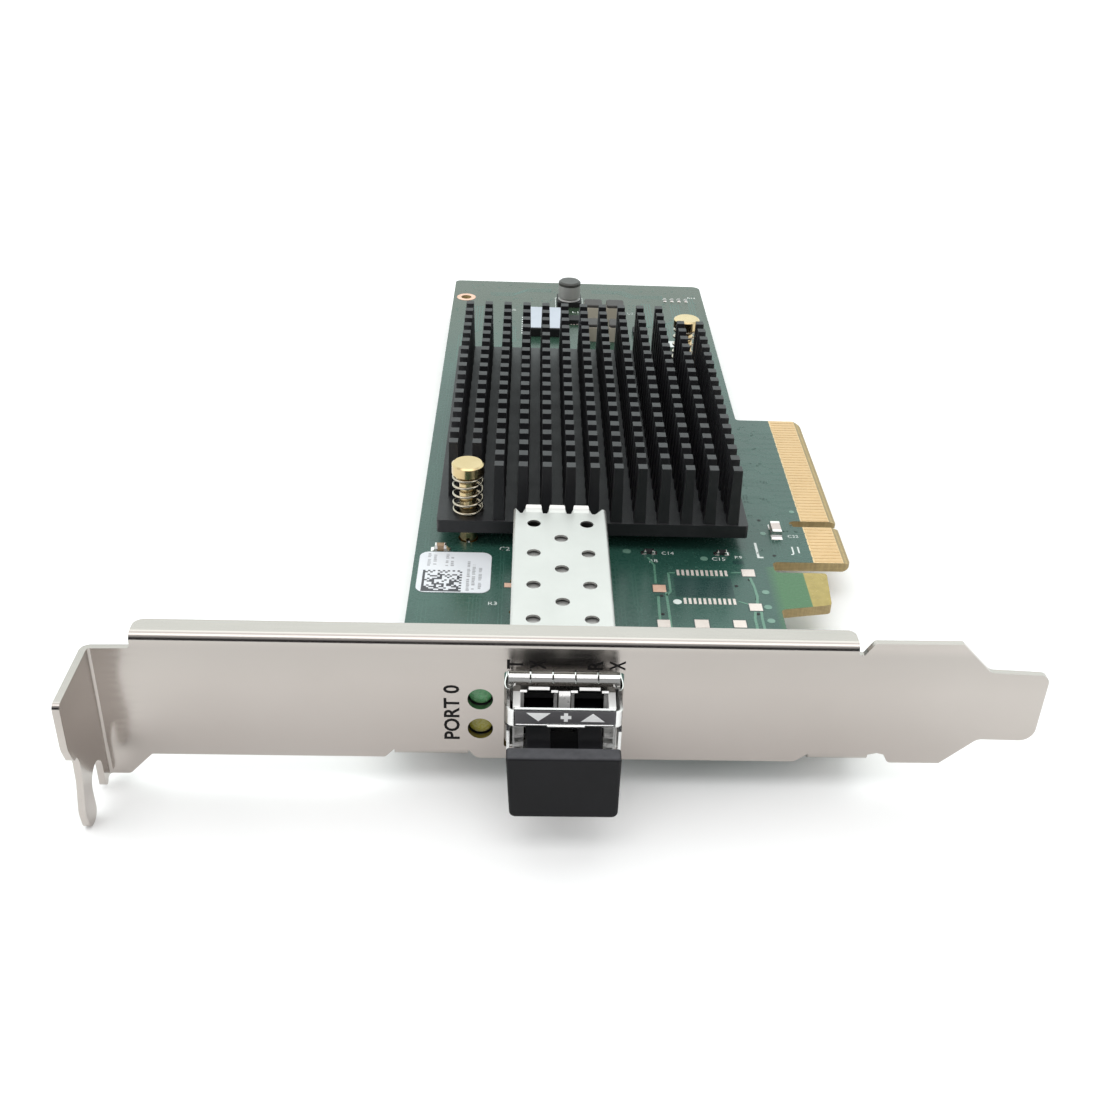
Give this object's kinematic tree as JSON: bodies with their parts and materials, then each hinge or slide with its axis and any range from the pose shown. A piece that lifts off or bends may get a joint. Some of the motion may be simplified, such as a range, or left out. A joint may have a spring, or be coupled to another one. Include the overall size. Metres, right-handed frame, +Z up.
{
  "type": "fibre channel adapter",
  "caption": "Low-profile edge-connector card on a full-height slot bracket, with an optical port behind a dust plug and a black pin-fin heat sink.",
  "frame": {"origin": "card-edge datum: on the edge line of the contact tongue, at the centre of the key notch, in the middle of the board's thickness", "axes": "+X out of the card edge, the way it goes into the slot; +Y towards the rear of the card, away from the bracket; +Z up from the component side"},
  "size_m": [0.1198, 0.1807, 0.0232],
  "materials": {
    "nickel_sheet": "satin nickel plate",
    "screw_steel": "satin",
    "solder_mask": "semi-gloss solder mask",
    "gold_plate": "gold plate",
    "tin_sheet": "bright tin plate",
    "spring_sheet": "bright",
    "black_resin": "matt",
    "die_cast": "nickel-plated casting",
    "barrel_steel": "turned",
    "module_mask": "semi-gloss solder mask",
    "bail_sheet": "bright",
    "black_film": "printed film",
    "plug_resin": "soft moulded",
    "black_anodised": "black anodised",
    "brass": "turned",
    "nickel_lid": "satin",
    "gap_pad": "matt",
    "green_lens": "diffused",
    "amber_lens": "diffused",
    "solder": "bright",
    "label_paper": "matt",
    "tan_ceramic": "matt",
    "dark_ceramic": "matt",
    "ferrite": "matt",
    "can_aluminium": "sleeved can"
  },
  "bodies": {
    "card": {"bracket": "nickel_sheet", "bracket_screws": "screw_steel", "circuit_board": "solder_mask", "edge_contacts_top": "gold_plate", "edge_contacts_bottom": "gold_plate", "cage_shell": "tin_sheet", "cage_spring_collar": "spring_sheet", "host_connector": "black_resin", "host_connector_contacts": "gold_plate", "heat_sink": "black_anodised", "push_pins": "brass", "push_pin_springs": "spring_sheet", "controller_substrate": "module_mask", "controller_lid": "nickel_lid", "thermal_pad": "gap_pad", "led_block": "black_resin", "led_green": "green_lens", "led_amber": "amber_lens", "led_leads": "solder", "sticker": "label_paper", "ceramic_capacitors": "tan_ceramic", "chip_resistors": "dark_ceramic", "power_inductors": "ferrite", "switching_regulators": "black_resin", "bulk_capacitor": "can_aluminium", "bulk_capacitor_seat": "black_resin", "flash_memory": "black_resin", "memory_label": "label_paper", "clock_oscillator": "nickel_lid", "underside_capacitors": "tan_ceramic"},
    "transceiver": {"transceiver_base": "die_cast", "transceiver_cover": "tin_sheet", "port_receptacle": "black_resin", "laser_transmitter": "barrel_steel", "photo_receiver": "barrel_steel", "module_board": "module_mask", "module_driver_chip": "black_resin", "release_slide": "spring_sheet", "bail_pin": "screw_steel"},
    "bail": {"bail": "bail_sheet", "bail_label": "black_film"},
    "dust_plug": {"dust_plug": "plug_resin"}
  },
  "joints": [
    {"name": "transceiver_slide", "type": "slide", "parent": "card", "child": "transceiver", "axis": [0, -1, 0], "range_m": [0, 0.045]},
    {"name": "bail_hinge", "type": "hinge", "parent": "transceiver", "child": "bail", "pos_m": [-0.04635, -0.06255, 0.00225], "axis": [1, 0, 0], "range_deg": [0, 15]},
    {"name": "dust_plug_slide", "type": "slide", "parent": "transceiver", "child": "dust_plug", "axis": [0, -1, 0], "range_m": [0, 0.02]}
  ]
}
